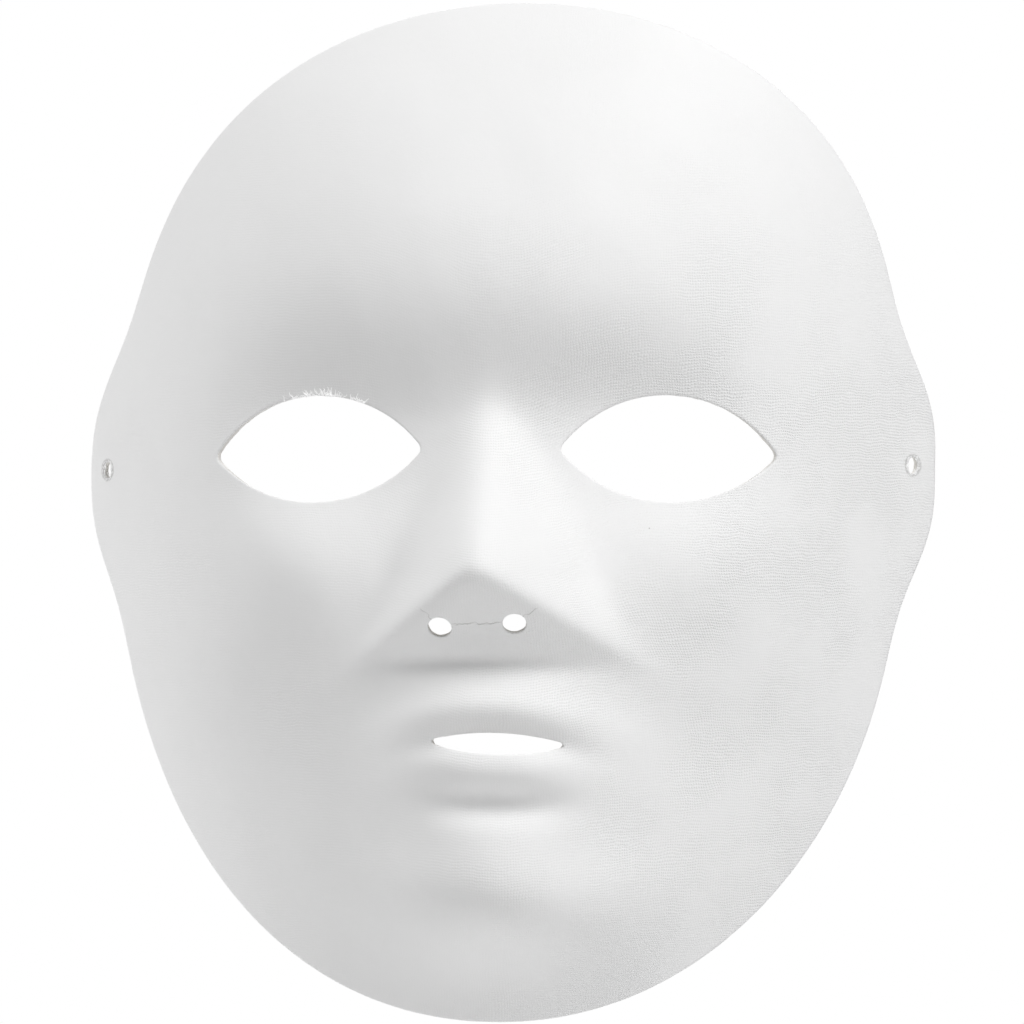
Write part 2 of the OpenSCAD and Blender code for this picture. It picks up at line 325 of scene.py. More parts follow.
def inward(loop, isHole):
    # unit direction in x and z from the edge into the material
    along = np.roll(loop, -1, axis=0) - np.roll(loop, 1, axis=0)
    side = np.stack([-along[:, 1], along[:, 0]], -1)
    side /= np.linalg.norm(side, axis=1, keepdims=True)
    return side * (1 if (signedArea(loop) > 0) != isHole else -1)


print("edges: rim and openings")
rim = rimLoop()
holes = openingLoops()
edges = [rim] + list(holes.values())


def flatMesh():
    # points and triangles of the whole face in x and z; the edge points come first
    points = np.vstack(edges)
    constraints, start = [], 0
    for loop in edges:
        count = len(loop)
        constraints += [(start + i, start + (i + 1) % count) for i in range(count)]
        start += count
    guards = []
    for index, loop in enumerate(edges):
        gap = spacing["guard"] * (0.7 if len(loop) < 60 else 1.0)
        guards.append(loop + gap * inward(loop, index > 0))
    guards = np.vstack(guards)
    h = spacing["grid"]
    rowsZ = np.arange(0.5, outline["height"] - 0.5, h * 0.866) - outline["height"] / 2 - outline["holeUp"]
    grid = []
    for row, z in enumerate(rowsZ):
        xs = np.arange(-95, 95, h) + (h / 2 if row % 2 else 0)
        grid.append(np.stack([xs, np.full_like(xs, z)], -1))
    grid = np.vstack(grid)
    grid = grid[np.abs(grid[:, 0] - lean(grid[:, 1])) < halfWidth(grid[:, 1]) - 0.5]
    for loop in holes.values():
        grid = grid[~inside(grid, loop)]
    tree = KDTree(len(points) + len(guards))
    for i, (x, z) in enumerate(np.vstack([points, guards])):
        tree.insert((x, z, 0), i)
    tree.balance()
    far = [tree.find((x, z, 0))[2] > 0.62 * h for x, z in grid]
    everything = np.vstack([points, guards, grid[np.array(far)]])
    coords = [Vector(p) for p in everything.tolist()]
    verts, _, faces, origin, _, _ = delaunay_2d_cdt(coords, constraints, [], 0, 1e-6)
    flat = np.array([v[:] for v in verts])
    tris = np.array([f for f in faces if len(f) == 3])
    middle = flat[tris].mean(axis=1)
    keep = inside(middle, rim)
    for loop in holes.values():
        keep &= ~inside(middle, loop)
    tris = tris[keep]
    ids = np.full(len(everything), -1)
    for i, sources in enumerate(origin):
        for s in sources:
            ids[s] = i
    return flat, tris, ids


def faceViewer(flat, tris):
    # turns over the triangles that look away from the viewer
    a, b, c = flat[tris[:, 0]], flat[tris[:, 1]], flat[tris[:, 2]]
    turn = (b[:, 0] - a[:, 0]) * (c[:, 1] - a[:, 1]) - (b[:, 1] - a[:, 1]) * (c[:, 0] - a[:, 0])
    tris[turn < 0] = tris[turn < 0][:, ::-1]


flat, tris, ids = flatMesh()
faceViewer(flat, tris)
print("face sheet:", len(flat), "points,", len(tris), "triangles")
skin = skinPoint(flat[:, 0], flat[:, 1])
normals = skinNormal(flat[:, 0], flat[:, 1])


thickness = layers["gauze"] + layers["pulp"] + layers["lining"]

# all three layers are die-cut together: the front edge is dragged round, the back edge stays
# nearly sharp
cut = {
    "frontRound": 0.22, "frontDeep": 0.3, "backRound": 0.1, "backDeep": 0.2, "seed": 5,
    "gauzeRings": (0.05, 0.12, 0.18), "pulpRings": (0.45, 0.65, 0.85), "liningRings": (1.18,),
    "gauzeRough": 0.015, "pulpRough": 0.05, "liningRough": 0.04,
}


def retreat(depth):
    # how far the cut edge lies back from the true line
    front = cut["frontRound"] * np.clip(1 - depth / cut["frontDeep"], 0, 1) ** 2
    back = cut["backRound"] * np.clip((depth - thickness + cut["backDeep"]) / cut["backDeep"], 0, 1) ** 2
    return front + back


# punched after pressing: the pin drags the gauze into a ragged lip, and the hole breaks out wider,
# with a burr at the back
punch = {"lip": 0.14, "lipReach": 0.75, "burr": 0.1, "burrReach": 0.7, "breakOut": 0.22}


def edgeRings():
    # for each edge: its point numbers, the way into the material along the skin, the way back
    # through it, and whether its loop turns left
    rings, start = [], 0
    leans = {"Nostril": openings["nostrilLean"], "Strap": openings["strapLean"]}
    for index, (name, loop) in enumerate(zip(["rim"] + list(holes), edges)):
        at = ids[start:start + len(loop)]
        start += len(loop)
        side = inward(loop, index > 0)
        n = normals[at]
        flatIn = np.stack([side[:, 0], np.zeros(len(loop)), side[:, 1]], -1)
        along = flatIn - np.sum(flatIn * n, axis=1, keepdims=True) * n
        into = along / np.linalg.norm(along, axis=1, keepdims=True)
        through = n
        for kind, towardsFront in leans.items():
            if name.endswith(kind):
                axis = punchAxis(*loop.mean(axis=0), towardsFront)
                through = axis / (n @ axis)[:, None] - punch["breakOut"] / thickness * into
        rings.append((at, into, through, signedArea(loop) > 0))
    return rings


rings = edgeRings()


def awayFrom(name):
    # distance from an opening's edge, and the direction round it, for every point of the face sheet
    loop = holes[name]
    centre = loop.mean(axis=0)
    size = np.linalg.norm(loop - centre, axis=1).mean()
    offset = flat - centre
    return np.linalg.norm(offset, axis=1) - size, np.arctan2(offset[:, 1], offset[:, 0])


def slantedNormals():
    # the skin's normals, turned towards the punch axis close to each punched hole
    slanted = normals.copy()
    for name, (at, into, through, _) in zip(["rim"] + list(holes), rings):
        if name.endswith("Nostril") or name.endswith("Strap"):
            away, _ = awayFrom(name)
            share = np.exp(-np.clip(away, 0, None) / 0.5)[:, None] * (away < 4)[:, None]
            slanted += share * (through.mean(axis=0) - normals)
        slanted[at] = through
    return slanted


slant = slantedNormals()


def tornRing(names, height, reach):
    lift = np.zeros(len(flat))
    for number, name in enumerate(names):
        away, angle = awayFrom(name)
        ragged = 1 + 0.45 * np.sin(3 * angle + 1.3 + number) + 0.35 * np.sin(7 * angle + 0.4 + 2 * number)
        lift = np.maximum(lift, height * ragged * np.exp(-np.clip(away, 0, None) / reach) * (away < 6))
    return lift


# the lining is laid in by hand, so it puckers where the form is deep
pleats = {
    "seed": 23, "count": 46, "height": (0.18, 0.55), "width": (0.45, 0.95), "length": (9, 30),
    # x, z and how far off the pleats start
    "centres": ((-1.5, -20, 11), (-1.5, -20, 11), (37, 4, 15), (-37, 4, 15),
                (1.5, -60, 17), (0, -92, 16), (0, 40, 52)),
}


def pleatLift():
    shake = np.random.default_rng(pleats["seed"])
    lift = np.zeros(len(flat))
    for number in range(pleats["count"]):
        cx, cz, reach = pleats["centres"][number % len(pleats["centres"])]
        a = shake.uniform(0, 2 * math.pi)
        height, width, length = (shake.uniform(*pleats[k]) for k in ("height", "width", "length"))
        bend = shake.uniform(-0.02, 0.02)
        offset = flat - (cx, cz)
        along = offset @ (math.cos(a), math.sin(a)) - reach
        across = offset @ (-math.sin(a), math.cos(a)) - bend * along ** 2
        taper = np.clip(along / 3, 0, 1) * np.clip((length - along) / (0.6 * length), 0, 1)
        fold = bump(across, width) - 0.35 * bump(across - 2.1 * width, 1.2 * width)
        lift += height * taper * fold
    return np.clip(lift, -0.15, 0.8)


# steepest is the highest squared slope, across and up, that the threads still follow
clothGrid = {"step": 1.0, "across": (-96, 97), "up": (-121, 103), "inside": (-119, 100), "steepest": (3, 2),
             "ownRow": 0.35}


def threadMap():
    # how far along its own threads each point lies, in millimetres: cloth keeps its spacing
    # round the form
    g = clothGrid
    step = g["step"]
    xs, zs = np.arange(*g["across"], step), np.arange(*g["up"], step)
    gridX, gridZ = np.meshgrid(xs, zs)
    near = np.clip(gridZ, *g["inside"])
    inX = np.clip(gridX, lean(near) - halfWidth(near), lean(near) + halfWidth(near))
    slopeX = formForward(inX + 0.5, near) - formForward(inX - 0.5, near)
    slopeZ = formForward(inX, near + 0.5) - formForward(inX, near - 0.5)
    alongX = np.cumsum(np.sqrt(1 + np.minimum(slopeX ** 2, g["steepest"][0])), axis=1) * step
    alongZ = np.cumsum(np.sqrt(1 + np.minimum(slopeZ ** 2, g["steepest"][1])), axis=0) * step
    alongX -= alongX[:, [len(xs) // 2]]
    alongZ = g["ownRow"] * alongZ + (1 - g["ownRow"]) * alongZ.mean(axis=1, keepdims=True)
    column = np.clip(flat[:, 0] - xs[0], 0, len(xs) - 1.001)
    row = np.clip(flat[:, 1] - zs[0], 0, len(zs) - 1.001)
    c, r = column.astype(int), row.astype(int)
    fc, fr = column - c, row - r

    def read(t):
        near = t[r, c] * (1 - fc) + t[r, c + 1] * fc
        far = t[r + 1, c] * (1 - fc) + t[r + 1, c + 1] * fc
        return near * (1 - fr) + far * fr

    return np.stack([read(alongX), read(alongZ)], -1)


threads = threadMap()


def newMesh(name, points, faces, uv=None):
    mesh = bpy.data.meshes.new(name)
    mesh.from_pydata((np.asarray(points) * mm).tolist(), [], faces)
    mesh.shade_smooth()
    if uv is not None:
        corner = np.zeros(len(mesh.loops), dtype=np.int32)
        mesh.loops.foreach_get("vertex_index", corner)
        mesh.uv_layers.new(name="threads").data.foreach_set("uv", uv[corner].ravel())
    mesh.update()
    piece = bpy.data.objects.new(name, mesh)
    bpy.context.scene.collection.objects.link(piece)
    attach(piece, "root")
    return piece


def laminateLayer(name, top, bottom, between, rough, frontLift=0.0, backLift=0.0):
    # a closed sheet from one depth to another, with rings of points down the wall of every cut edge
    shake = np.random.default_rng(cut["seed"] + int(100 * top))
    count = len(flat)
    points, sources, deep = [], [], []
    for depth, lift in ((top, frontLift), (bottom, -np.asarray(backLift))):
        sheet = skin - depth * slant + np.reshape(lift, (-1, 1)) * normals
        for at, into, through, _ in rings:
            sheet[at] += retreat(depth) * into
        points.append(sheet)
        sources.append(np.arange(count))
        deep.append(np.zeros(count))
    faces = [tris, tris[:, ::-1] + count]
    start = 2 * count
    for number, (at, into, through, turnsLeft) in enumerate(rings):
        wall = [at]
        for depth in between:
            wander = rough * shake.standard_normal(len(at))
            wander = (wander + np.roll(wander, 1) + np.roll(wander, -1)) / 1.7 + retreat(depth)
            points.append(skin[at] - depth * through + wander[:, None] * into)
            sources.append(at)
            deep.append(np.full(len(at), depth - top))
            wall.append(np.arange(start, start + len(at)))
            start += len(at)
        wall.append(at + count)
        for first, second in zip(wall, wall[1:]):
            nextFirst, nextSecond = np.roll(first, -1), np.roll(second, -1)
            if turnsLeft == (number == 0):
                quads = ((nextFirst, first, second), (nextFirst, second, nextSecond))
            else:
                quads = ((first, nextFirst, nextSecond), (first, nextSecond, second))
            faces += [np.stack(q, -1) for q in quads]
    uv = threads[np.concatenate(sources)]
    uv[:, 1] += np.concatenate(deep)
    return newMesh(name, np.vstack(points), np.vstack(faces).tolist(), uv)


strapHoles, nostrils = ("leftStrap", "rightStrap"), ("leftNostril", "rightNostril")
gauzeBottom = layers["gauze"] - layers["glueGap"]
pulpTop, pulpBottom = layers["gauze"], layers["gauze"] + layers["pulp"]
gauze = laminateLayer("gauze_face", 0.0, gauzeBottom, cut["gauzeRings"], cut["gauzeRough"],
                      frontLift=tornRing(strapHoles, punch["lip"], punch["lipReach"]))
pulp = laminateLayer("pulp_shell", pulpTop, pulpBottom, cut["pulpRings"], cut["pulpRough"])
backLift = tornRing(strapHoles + nostrils, punch["burr"], punch["burrReach"]) + pleatLift()
lining = laminateLayer("lining_cloth", pulpBottom + layers["glueGap"], thickness, cut["liningRings"],
                       cut["liningRough"], backLift=backLift)
print("laminate: gauze, pulp and lining made")


# torn fibres left by the cutter on the upper edge of one eye, and loose gauze ends at the strap holes
fluff = {
    "seed": 41, "radius": (0.045, 0.095), "sides": 5, "rings": 7,
    "eyeAcross": ((-8.5, -1.5, 10), (-2.6, 5.4, 46), (7.6, 10.2, 16)), "eyeReach": (0.5, 1.9), "curl": 0.55,
    "strapEnds": 9, "strapReach": (0.5, 1.3),
}


def fibre(line, radius, shake):
    # a thin tapered tube along a few points
    line = np.asarray(line)
    along = np.gradient(line, axis=0)
    along /= np.linalg.norm(along, axis=1, keepdims=True)
    side = np.cross(along, shake.standard_normal(3))
    side /= np.linalg.norm(side, axis=1, keepdims=True)
    other = np.cross(along, side)
    a = np.linspace(0, 2 * math.pi, fluff["sides"], endpoint=False)
    thin = radius * (1 - 0.75 * np.linspace(0, 1, len(line)) ** 2)
    return (line[:, None] + thin[:, None, None] * (
        np.cos(a)[None, :, None] * side[:, None] + np.sin(a)[None, :, None] * other[:, None])).reshape(-1, 3)


def tubeFaces(start, count):
    n = fluff["sides"]
    faces = [list(range(start, start + n))[::-1], list(range(start + (count - 1) * n, start + count * n))]
    for r in range(count - 1):
        for i in range(n):
            j = (i + 1) % n
            base = start + r * n
            faces.append([base + i, base + j, base + n + j, base + n + i])
    return faces


def curledLine(root, away, n, reach, shake):
    # leaves the edge, lies over the skin and curls
    t = np.linspace(0, 1, fluff["rings"])[:, None]
    side = np.cross(away, n)
    curl = fluff["curl"] * shake.uniform(-1, 1) * reach
    lift = shake.uniform(0.05, 0.3)
    return (root + reach * t * away + curl * np.sin(2.6 * t) * t * side
            + (0.02 + lift * np.sin(math.pi * 0.85 * t)) * n)


def looseFibres():
    shake = np.random.default_rng(fluff["seed"])
    points, faces, lines, start = [], [], [], 0
    eye = holes["leftEye"]
    upper = eye[eye[:, 1] > openings["eyeZ"]]
    for low, high, count in fluff["eyeAcross"]:
        for x in shake.uniform(low, high, count):
            at = upper[np.argmin(np.abs(upper[:, 0] - (x - openings["eyeX"])))]
            spotX, spotZ = at[0] + shake.uniform(-0.3, 0.3), at[1] + shake.uniform(-0.1, 0.35)
            n = skinNormal(np.array(spotX), np.array(spotZ))
            swing = shake.uniform(-1.25, 1.25)
            away = np.array([math.sin(swing), 0, math.cos(swing)])
            away = away - away.dot(n) * n
            lines.append((skinPoint(np.array(spotX), np.array(spotZ)), away / np.linalg.norm(away), n,
                          shake.uniform(*fluff["eyeReach"])))
    for name in strapHoles:
        loop = holes[name]
        centre = loop.mean(axis=0)
        for number in shake.integers(0, len(loop), fluff["strapEnds"]):
            at = loop[number]
            n = skinNormal(np.array(at[0]), np.array(at[1]))
            flatAway = (centre - at) * shake.choice([-0.7, 1.0]) + shake.uniform(-0.8, 0.8, 2)
            away = np.array([flatAway[0], 0, flatAway[1]])
            away = away - away.dot(n) * n
            lines.append((skinPoint(np.array(at[0]), np.array(at[1])) - 0.1 * n,
                          away / np.linalg.norm(away), n, shake.uniform(*fluff["strapReach"])))
    for root, away, n, reach in lines:
        tube = fibre(curledLine(root, away, n, reach, shake), shake.uniform(*fluff["radius"]), shake)
        points.append(tube)
        faces += tubeFaces(start, fluff["rings"])
        start += len(tube)
    return newMesh("torn_fibres", np.vstack(points), faces)


fibres = looseFibres()
print("torn fibres made")


def toLinear(hexColour):
    parts = [int(hexColour[i:i + 2], 16) / 255 for i in (1, 3, 5)]
    return tuple(p / 12.92 if p <= 0.04045 else ((p + 0.055) / 1.055) ** 2.4 for p in parts) + (1,)


def addNode(tree, kind, settings=None, **links):
    # settings are the node's own fields; links are its inputs, as values or as (node, output)
    made = tree.nodes.new(kind)
    for key, value in (settings or {}).items():
        setattr(made, key, value)
    for key, value in links.items():
        byNumber = key[0] == "i" and key[1:].isdigit()
        socket = made.inputs[int(key[1:]) if byNumber else key.replace("_", " ")]
        if isinstance(value, tuple) and hasattr(value[0], "outputs"):
            tree.links.new(value[0].outputs[value[1]], socket)
        elif hasattr(value, "outputs"):
            tree.links.new(value.outputs[0], socket)
        else:
            socket.default_value = value
    return made


def startMaterial(name):
    material = bpy.data.materials.new(name)
    material.use_nodes = True
    material.node_tree.nodes.clear()
    return material, material.node_tree


def maths(tree, operation, first, second=0.0):
    return addNode(tree, "ShaderNodeMath", {"operation": operation}, i0=first, i1=second)


def blendColour(tree, share, first, second):
    # first where share is 0, second where it is 1
    return addNode(tree, "ShaderNodeMix", {"data_type": "RGBA"}, i0=share, i6=first, i7=second)


def threadWave(tree, coordinate, pitch, wander):
    # rounded rows at one thread spacing, in millimetres, pushed about by the wander
    moved = maths(tree, "ADD", coordinate, wander)
    turned = maths(tree, "MULTIPLY", moved, 2 * math.pi / pitch)
    return maths(tree, "SINE", turned)


def plainWeave(tree, pitch, wanderBy):
    # height of a plain weave, about -1 to 1
    uv = addNode(tree, "ShaderNodeUVMap", {"uv_map": "threads"})
    parts = addNode(tree, "ShaderNodeSeparateXYZ", i0=uv)
    drift = addNode(tree, "ShaderNodeTexNoise", {"noise_dimensions": "2D"},
                    Vector=uv, Scale=0.16, Detail=3.0, Roughness=0.6)
    centred = maths(tree, "SUBTRACT", (drift, "Fac"), 0.5)
    wander = maths(tree, "MULTIPLY", centred, wanderBy)
    weft = threadWave(tree, (parts, "Y"), pitch, wander)
    warp = threadWave(tree, (parts, "X"), pitch * 0.94, wander)
    crossing = maths(tree, "MULTIPLY", weft, warp)
    rows = maths(tree, "MULTIPLY", weft, 0.62)
    columns = maths(tree, "MULTIPLY", warp, 0.38)
    ribs = maths(tree, "ADD", rows, columns)
    return maths(tree, "ADD", ribs, maths(tree, "MULTIPLY", crossing, 0.45))


sizedGauze = {
    "colour": "#f5f5f5", "shade": "#efefef", "roughness": 0.72, "pitch": 0.64, "threadHeight": 0.05,
    # crack is the grey of painted shade drawn in the cracks and in the torn rings
    "wander": 1.6, "patchSize": 28, "speck": "#8f8b84", "crack": "#9c9a97",
    # a ring of torn size round each strap hole, drawn grey as painted shade: how narrow the ring looks, its
    # radius and half width in mm
    "fray": {"narrow": 0.72, "radius": 2.25, "width": 0.32},
    # hairline cracks in the size at the nostrils, drawn grey as painted shade: middle x and z, half length,
    # angle and width, in mm and degrees
    "cracks": ((-1.4, -33.1, 5.8, 2.0, 0.10), (-11.6, -31.6, 2.6, -42.0, 0.07),
               (9.2, -31.2, 2.8, 34.0, 0.07)),
}
mouldedPulp = {"colour": "#f1f0ee", "shade": "#e6e4e0", "roughness": 0.95, "fibre": 0.5, "height": 0.05}
liningCloth = {
    "colour": "#f4f3f0", "shade": "#e6e3dc", "glue": "#e3dfd5", "roughness": 0.9, "glueRoughness": 0.55,
    "pitch": 0.95, "threadHeight": 0.045, "wander": 2.4,
}


def hairlineCrack(tree, where, x, z, half, angle, width):
    # 1 on a thin wandering line and 0 away from it
    turn = math.radians(angle)
    across = maths(tree, "SUBTRACT", maths(tree, "MULTIPLY", (where, "X"), 1 / mm), x)
    above = maths(tree, "SUBTRACT", maths(tree, "MULTIPLY", (where, "Z"), 1 / mm), z)
    along = maths(tree, "ADD", maths(tree, "MULTIPLY", across, math.cos(turn)),
                  maths(tree, "MULTIPLY", above, math.sin(turn)))
    off = maths(tree, "SUBTRACT", maths(tree, "MULTIPLY", above, math.cos(turn)),
                maths(tree, "MULTIPLY", across, math.sin(turn)))
    drift = addNode(tree, "ShaderNodeTexNoise", {"noise_dimensions": "1D"}, W=along, Scale=0.55, Detail=3.0)
    sway = maths(tree, "MULTIPLY", maths(tree, "SUBTRACT", (drift, "Fac"), 0.5), 1.5)
    wandered = maths(tree, "ADD", off, sway)
    line = addNode(tree, "ShaderNodeMapRange", Value=maths(tree, "ABSOLUTE", wandered),
                   i1=0.4 * width, i2=1.6 * width, i3=1.0, i4=0.0)
    ends = addNode(tree, "ShaderNodeMapRange", Value=maths(tree, "ABSOLUTE", along),
                   i1=0.75 * half, i2=half, i3=1.0, i4=0.0)
    broken = addNode(tree, "ShaderNodeMapRange", Value=(drift, "Fac"), i1=0.3, i2=0.5, i3=0.35, i4=1.0)
    return maths(tree, "MULTIPLY", maths(tree, "MULTIPLY", line, ends), broken)


def frayedRing(tree, where, x, z):
    # 1 on a broken ragged ring round a strap hole and 0 away from it
    f = sizedGauze["fray"]
    offset = maths(tree, "SUBTRACT", maths(tree, "MULTIPLY", (where, "X"), 1 / mm), x)
    across = maths(tree, "DIVIDE", offset, f["narrow"])
    above = maths(tree, "SUBTRACT", maths(tree, "MULTIPLY", (where, "Z"), 1 / mm), z)
    place = addNode(tree, "ShaderNodeCombineXYZ", X=across, Y=above)
    reach = addNode(tree, "ShaderNodeVectorMath", {"operation": "LENGTH"}, i0=place)
    ragged = addNode(tree, "ShaderNodeTexNoise", Vector=place, Scale=0.9, Detail=4.0, Roughness=0.7)
    tear = maths(tree, "MULTIPLY", maths(tree, "SUBTRACT", (ragged, "Fac"), 0.5), 2.2)
    torn = maths(tree, "ADD", (reach, "Value"), tear)
    off = maths(tree, "ABSOLUTE", maths(tree, "SUBTRACT", torn, f["radius"]))
    ring = addNode(tree, "ShaderNodeMapRange", Value=off, i1=0.3 * f["width"], i2=f["width"], i3=1.0, i4=0.0)
    broken = addNode(tree, "ShaderNodeMapRange", Value=(ragged, "Fac"), i1=0.36, i2=0.52, i3=0.1, i4=1.0)
    return maths(tree, "MULTIPLY", ring, broken)


def sizedGauzeMaterial():
    # woven cotton gauze filled with chalk size: matt and nearly white, and the weave only just
    # shows where the size is thin
    m = sizedGauze
    material, tree = startMaterial("sizedGauze")
    # the real thread is about 0.55 mm, drawn a little coarser so that it shows
    weave = plainWeave(tree, m["pitch"], m["wander"])
    place = addNode(tree, "ShaderNodeTexCoord")
    where = addNode(tree, "ShaderNodeSeparateXYZ", i0=(place, "Object"))
    # the size lies thinner on the lower right of the face, so more weave shows there
    smooth = {"interpolation_type": "SMOOTHSTEP"}
    right = addNode(tree, "ShaderNodeMapRange", smooth, Value=(where, "X"),
                    i1=-0.03, i2=0.06, i3=0.25, i4=1.0)
    low = addNode(tree, "ShaderNodeMapRange", smooth, Value=(where, "Z"),
                  i1=0.075, i2=0.0, i3=0.35, i4=1.0)
    patches = addNode(tree, "ShaderNodeTexNoise", Vector=(place, "Object"), Scale=1 / mm / m["patchSize"],
                      Detail=4.0, Roughness=0.6)
    patch = addNode(tree, "ShaderNodeMapRange", smooth, Value=(patches, "Fac"),
                    i1=0.34, i2=0.62, i3=0.15, i4=1.0)
    show = maths(tree, "MULTIPLY", maths(tree, "MULTIPLY", right, low), patch)
    weaveHeight = maths(tree, "MULTIPLY", weave, show)
    # brushed-on size: faint lumps and pimples
    lumps = addNode(tree, "ShaderNodeTexNoise", Vector=(place, "Object"), Scale=420.0,
                   Detail=5.0, Roughness=0.62)
    grain = addNode(tree, "ShaderNodeTexNoise", Vector=(place, "Object"), Scale=2600.0,
                   Detail=2.0, Roughness=0.5)
    first = addNode(tree, "ShaderNodeBump", Height=(lumps, "Fac"), Distance=0.00009, Strength=0.55)
    second = addNode(tree, "ShaderNodeBump", Height=(grain, "Fac"), Distance=0.00003, Strength=0.5,
                     Normal=first)
    third = addNode(tree, "ShaderNodeBump", Height=weaveHeight, Distance=m["threadHeight"] * mm,
                    Strength=1.0, Normal=second)
    # a few dark specks of pulp under the size
    specks = addNode(tree, "ShaderNodeTexVoronoi", Vector=(place, "Object"), Scale=85.0)
    dot = addNode(tree, "ShaderNodeMapRange", Value=(specks, "Distance"), i1=0.008, i2=0.02, i3=1.0, i4=0.0)
    rare = addNode(tree, "ShaderNodeSeparateXYZ", i0=(specks, "Color"))
    chosen = maths(tree, "GREATER_THAN", (rare, "X"), 0.86)
    speck = maths(tree, "MULTIPLY", maths(tree, "MULTIPLY", dot, chosen), 0.5)
    tone = addNode(tree, "ShaderNodeTexNoise", Vector=(place, "Object"), Scale=38.0, Detail=3.0)
    base = blendColour(tree, (tone, "Fac"), toLinear(m["colour"]), toLinear(m["shade"]))
    specked = blendColour(tree, speck, (base, 2), toLinear(m["speck"]))
    cracks = [hairlineCrack(tree, where, *crack) for crack in m["cracks"]]
    cracks += [frayedRing(tree, where, side * strapX, side * openings["strapLift"]) for side in (-1, 1)]
    cracksAndShade = cracks[0]
    for crack in cracks[1:]:
        cracksAndShade = maths(tree, "MAXIMUM", cracksAndShade, crack)
    # painted shade: the cracks and the torn rings round the strap holes are drawn grey, as shade inside them;
    # the bump below dents them
    crackShaded = blendColour(tree, maths(tree, "MULTIPLY", cracksAndShade, 0.45), (specked, 2), toLinear(m["crack"]))
    fourth = addNode(tree, "ShaderNodeBump", {"invert": True}, Height=cracksAndShade, Distance=0.08 * mm,
                     Strength=0.8, Normal=third)
    shader = addNode(tree, "ShaderNodeBsdfPrincipled", Base_Color=(crackShaded, 2), Roughness=m["roughness"],
                     Normal=fourth)
    shader.inputs["Specular IOR Level"].default_value = 0.25
    addNode(tree, "ShaderNodeOutputMaterial", Surface=shader)
    return material


def mouldedPulpMaterial():
    # paper pulp pressed in a mould: matt, off-white, short fibres at the cut
    m = mouldedPulp
    material, tree = startMaterial("mouldedPulp")
    place = addNode(tree, "ShaderNodeTexCoord")
    strands = addNode(tree, "ShaderNodeTexNoise", Vector=(place, "Object"), Scale=1 / mm / m["fibre"],
                      Detail=6.0, Roughness=0.7, Distortion=1.2)
    tone = addNode(tree, "ShaderNodeTexNoise", Vector=(place, "Object"), Scale=260.0, Detail=4.0)
    base = blendColour(tree, (tone, "Fac"), toLinear(m["colour"]), toLinear(m["shade"]))
    bumped = addNode(tree, "ShaderNodeBump", Height=(strands, "Fac"), Distance=m["height"] * mm, Strength=0.9)
    shader = addNode(tree, "ShaderNodeBsdfPrincipled", Base_Color=(base, 2), Roughness=m["roughness"],
                     Normal=bumped)
    shader.inputs["Specular IOR Level"].default_value = 0.2
    addNode(tree, "ShaderNodeOutputMaterial", Surface=shader)
    return material


def liningClothMaterial():
    # open cotton cloth wetted with glue and pressed on: coarse weave, dull, yellower where the
    # glue came through, with painted shade darkening the spaces between the threads
    m = liningCloth
    material, tree = startMaterial("liningCloth")
    weave = plainWeave(tree, m["pitch"], m["wander"])
    place = addNode(tree, "ShaderNodeTexCoord")
    soaked = addNode(tree, "ShaderNodeTexNoise", Vector=(place, "Object"), Scale=45.0,
                    Detail=5.0, Roughness=0.65)
    glue = addNode(tree, "ShaderNodeMapRange", {"interpolation_type": "SMOOTHSTEP"}, Value=(soaked, "Fac"),
                   i1=0.5, i2=0.68, i3=0.0, i4=0.8)
    tone = addNode(tree, "ShaderNodeTexNoise", Vector=(place, "Object"), Scale=700.0, Detail=4.0)
    base = blendColour(tree, (tone, "Fac"), toLinear(m["colour"]), toLinear(m["shade"]))
    # painted shade: the low places of the weave, between the threads, are drawn darker towards the shade
    # colour
    gapShade = addNode(tree, "ShaderNodeMapRange", Value=weave, i1=-1.1, i2=-0.3, i3=0.35, i4=0.0)
    woven = blendColour(tree, gapShade, (base, 2), toLinear(m["shade"]))
    stained = blendColour(tree, glue, (woven, 2), toLinear(m["glue"]))
    dry = maths(tree, "SUBTRACT", 1.0, glue)
    height = maths(tree, "MULTIPLY", weave, dry)
    bumped = addNode(tree, "ShaderNodeBump", Height=height, Distance=m["threadHeight"] * mm, Strength=1.0)
    lumps = addNode(tree, "ShaderNodeBump", Height=(soaked, "Fac"), Distance=0.0006, Strength=0.5,
                    Normal=bumped)
    shine = addNode(tree, "ShaderNodeMapRange", Value=glue, i1=0.0, i2=0.8, i3=m["roughness"],
                    i4=m["glueRoughness"])
    shader = addNode(tree, "ShaderNodeBsdfPrincipled", Base_Color=(stained, 2), Roughness=shine, Normal=lumps)
    addNode(tree, "ShaderNodeOutputMaterial", Surface=shader)
    return material


def cottonFibreMaterial():
    # loose cotton and paper fibres: the faint glow stands for the light that passes through them
    material, tree = startMaterial("cottonFibre")
    shader = addNode(tree, "ShaderNodeBsdfPrincipled", Base_Color=toLinear("#fbfbfb"), Roughness=0.9)
    shader.inputs["Emission Color"].default_value = (1, 1, 1, 1)
    shader.inputs["Emission Strength"].default_value = 0.22
    addNode(tree, "ShaderNodeOutputMaterial", Surface=shader)
    return material


for piece, make, node in (
        (gauze, sizedGauzeMaterial, "gauze_face_layer"), (pulp, mouldedPulpMaterial, "pulp_core_shell"),
        (lining, liningClothMaterial, "backing_lining"), (fibres, cottonFibreMaterial, None)):
    piece.data.materials.append(make())
    if node:
        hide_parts(node)
# a guess at the blank: the form is about 0.247 m across the nose, so the cloth would stretch there
print("materials: sized gauze, moulded pulp, lining cloth")


